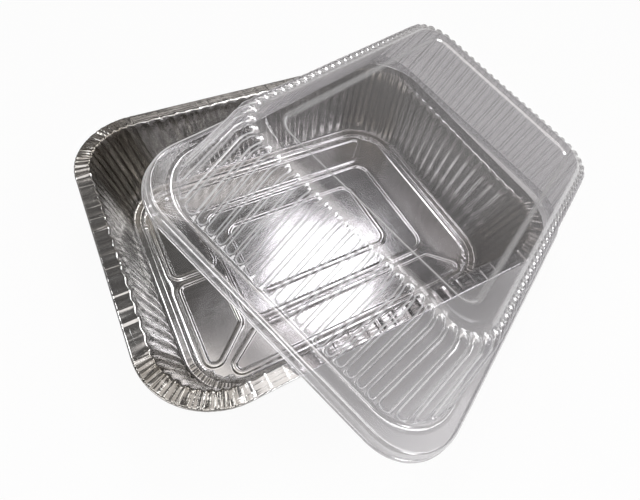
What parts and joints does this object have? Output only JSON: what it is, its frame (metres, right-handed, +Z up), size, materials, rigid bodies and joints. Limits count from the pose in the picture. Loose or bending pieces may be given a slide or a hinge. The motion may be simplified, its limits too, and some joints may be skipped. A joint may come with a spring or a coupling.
{
  "type": "foil food container with clear lid",
  "caption": "Rectangular foil tray with fluted walls, pleated corners and a stamped floor, with a clear ribbed dome lid leaning askew on its rim.",
  "frame": {"origin": "middle of the tray's floor panel, on its underside, where it stands on the table", "axes": "+X along the tray's long side towards the lid's low corner, +Y across the tray towards the back, +Z up out of the tray's mouth"},
  "size_m": [0.4019, 0.3404, 0.1637],
  "materials": {
    "foil": "bright rolled foil",
    "clear_plastic": "clear glossy plastic film"
  },
  "bodies": {
    "root": {"foil_tray": "foil", "clear_lid": "clear_plastic"}
  },
  "joints": []
}
